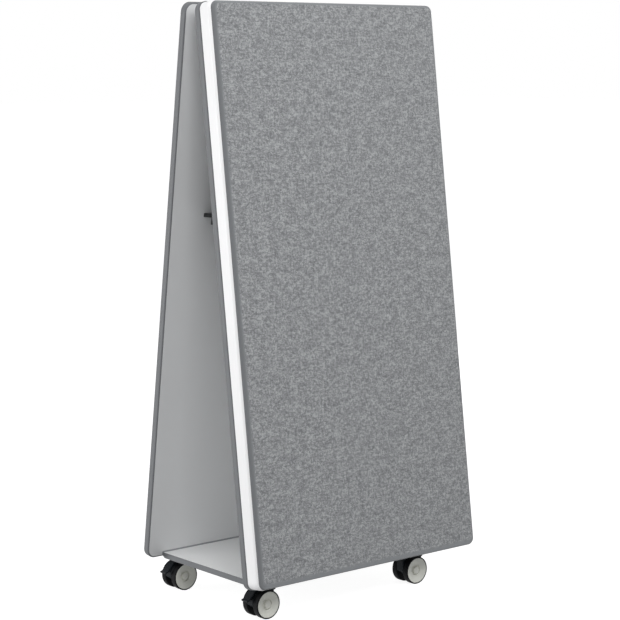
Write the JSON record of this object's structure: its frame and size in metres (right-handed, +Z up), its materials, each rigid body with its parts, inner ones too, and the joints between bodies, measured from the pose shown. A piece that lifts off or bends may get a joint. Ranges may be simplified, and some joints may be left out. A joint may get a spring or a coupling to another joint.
{
  "type": "mobile whiteboard",
  "caption": "Tall A-frame trolley on braked swivel castors, with dry-wipe sides, a storage shelf and a felt-faced board that lifts off its front.",
  "frame": {"origin": "on the floor, under the middle of the part's box", "axes": "+Z up, +Y to the rear, +X to the right seen from the felt side"},
  "size_m": [0.9, 0.5872, 1.8408],
  "materials": {
    "dry_wipe": "gloss",
    "laminate": "semi-gloss laminate",
    "light_core": "raw board",
    "grey_edge": "satin",
    "white_frame": "satin",
    "felt": "melange felt",
    "bead": "matte",
    "black_steel": "satin black",
    "rail": "anodised",
    "screw_steel": "zinc plated",
    "castor_black": "satin",
    "tyre_black": "matte",
    "disc_grey": "satin"
  },
  "bodies": {
    "trolley": {"front_panel_core": "laminate", "front_panel_lipping": "grey_edge", "front_panel_sheet": "dry_wipe", "rear_panel_core": "laminate", "rear_panel_lipping": "grey_edge", "rear_panel_sheet": "dry_wipe", "shelf_board": "laminate", "shelf_end_strips": "grey_edge", "shelf_seam_beads": "bead", "shelf_straps": "black_steel", "strap_screws": "screw_steel", "ridge_spacer": "laminate", "ridge_dowels": "screw_steel", "stretcher_plate": "black_steel", "stretcher_angles": "black_steel", "stretcher_screws": "screw_steel", "front_hang_rail": "rail", "hang_rail_screws": "screw_steel", "castor_kingpins": "screw_steel", "castor_screws": "screw_steel", "front_left_castor_plate": "screw_steel", "front_right_castor_plate": "screw_steel", "rear_left_castor_plate": "screw_steel", "rear_right_castor_plate": "screw_steel"},
    "hanging_board": {"board_frame": "white_frame", "board_core": "light_core", "board_back_sheet": "dry_wipe", "felt_face": "felt", "board_hang_rail": "rail", "board_rail_screws": "screw_steel", "board_bumpers": "bead"},
    "front_left_swivel": {"front_left_hood": "castor_black", "front_left_axle": "screw_steel"},
    "front_left_front_wheel": {"front_left_front_tyre": "tyre_black", "front_left_front_disc": "disc_grey"},
    "front_left_rear_wheel": {"front_left_rear_tyre": "tyre_black", "front_left_rear_disc": "disc_grey"},
    "front_left_pedal": {"front_left_pedal": "castor_black"},
    "front_right_swivel": {"front_right_hood": "castor_black", "front_right_axle": "screw_steel"},
    "front_right_front_wheel": {"front_right_front_tyre": "tyre_black", "front_right_front_disc": "disc_grey"},
    "front_right_rear_wheel": {"front_right_rear_tyre": "tyre_black", "front_right_rear_disc": "disc_grey"},
    "rear_left_swivel": {"rear_left_hood": "castor_black", "rear_left_axle": "screw_steel"},
    "rear_left_front_wheel": {"rear_left_front_tyre": "tyre_black", "rear_left_front_disc": "disc_grey"},
    "rear_left_rear_wheel": {"rear_left_rear_tyre": "tyre_black", "rear_left_rear_disc": "disc_grey"},
    "rear_left_pedal": {"rear_left_pedal": "castor_black"},
    "rear_right_swivel": {"rear_right_hood": "castor_black", "rear_right_axle": "screw_steel"},
    "rear_right_front_wheel": {"rear_right_front_tyre": "tyre_black", "rear_right_front_disc": "disc_grey"},
    "rear_right_rear_wheel": {"rear_right_rear_tyre": "tyre_black", "rear_right_rear_disc": "disc_grey"}
  },
  "joints": [
    {"name": "board_lift_off", "type": "slide", "parent": "trolley", "child": "hanging_board", "axis": [0, -0.6101, 0.7923], "range_m": [0, 0.25]},
    {"name": "front_left_swivel", "type": "hinge", "parent": "trolley", "child": "front_left_swivel", "pos_m": [-0.306, -0.18216, 0.092], "axis": [0, 0, 1], "continuous": true},
    {"name": "front_left_front_wheel_spin", "type": "hinge", "parent": "front_left_swivel", "child": "front_left_front_wheel", "pos_m": [-0.351, -0.18216, 0.044], "axis": [0, 1, 0], "continuous": true},
    {"name": "front_left_rear_wheel_spin", "type": "hinge", "parent": "front_left_swivel", "child": "front_left_rear_wheel", "pos_m": [-0.351, -0.18216, 0.044], "axis": [0, 1, 0], "continuous": true},
    {"name": "front_left_brake", "type": "hinge", "parent": "front_left_swivel", "child": "front_left_pedal", "pos_m": [-0.368, -0.18216, 0.08], "axis": [0, -1, 0], "range_deg": [0, 10]},
    {"name": "front_right_swivel", "type": "hinge", "parent": "trolley", "child": "front_right_swivel", "pos_m": [0.306, -0.18216, 0.092], "axis": [0, 0, 1], "continuous": true},
    {"name": "front_right_front_wheel_spin", "type": "hinge", "parent": "front_right_swivel", "child": "front_right_front_wheel", "pos_m": [0.261, -0.18216, 0.044], "axis": [0, 1, 0], "continuous": true},
    {"name": "front_right_rear_wheel_spin", "type": "hinge", "parent": "front_right_swivel", "child": "front_right_rear_wheel", "pos_m": [0.261, -0.18216, 0.044], "axis": [0, 1, 0], "continuous": true},
    {"name": "rear_left_swivel", "type": "hinge", "parent": "trolley", "child": "rear_left_swivel", "pos_m": [-0.306, 0.23383, 0.092], "axis": [0, 0, 1], "continuous": true},
    {"name": "rear_left_front_wheel_spin", "type": "hinge", "parent": "rear_left_swivel", "child": "rear_left_front_wheel", "pos_m": [-0.351, 0.23383, 0.044], "axis": [0, 1, 0], "continuous": true},
    {"name": "rear_left_rear_wheel_spin", "type": "hinge", "parent": "rear_left_swivel", "child": "rear_left_rear_wheel", "pos_m": [-0.351, 0.23383, 0.044], "axis": [0, 1, 0], "continuous": true},
    {"name": "rear_left_brake", "type": "hinge", "parent": "rear_left_swivel", "child": "rear_left_pedal", "pos_m": [-0.368, 0.23383, 0.08], "axis": [0, -1, 0], "range_deg": [0, 10]},
    {"name": "rear_right_swivel", "type": "hinge", "parent": "trolley", "child": "rear_right_swivel", "pos_m": [0.306, 0.23383, 0.092], "axis": [0, 0, 1], "continuous": true},
    {"name": "rear_right_front_wheel_spin", "type": "hinge", "parent": "rear_right_swivel", "child": "rear_right_front_wheel", "pos_m": [0.261, 0.23383, 0.044], "axis": [0, 1, 0], "continuous": true},
    {"name": "rear_right_rear_wheel_spin", "type": "hinge", "parent": "rear_right_swivel", "child": "rear_right_rear_wheel", "pos_m": [0.261, 0.23383, 0.044], "axis": [0, 1, 0], "continuous": true}
  ]
}
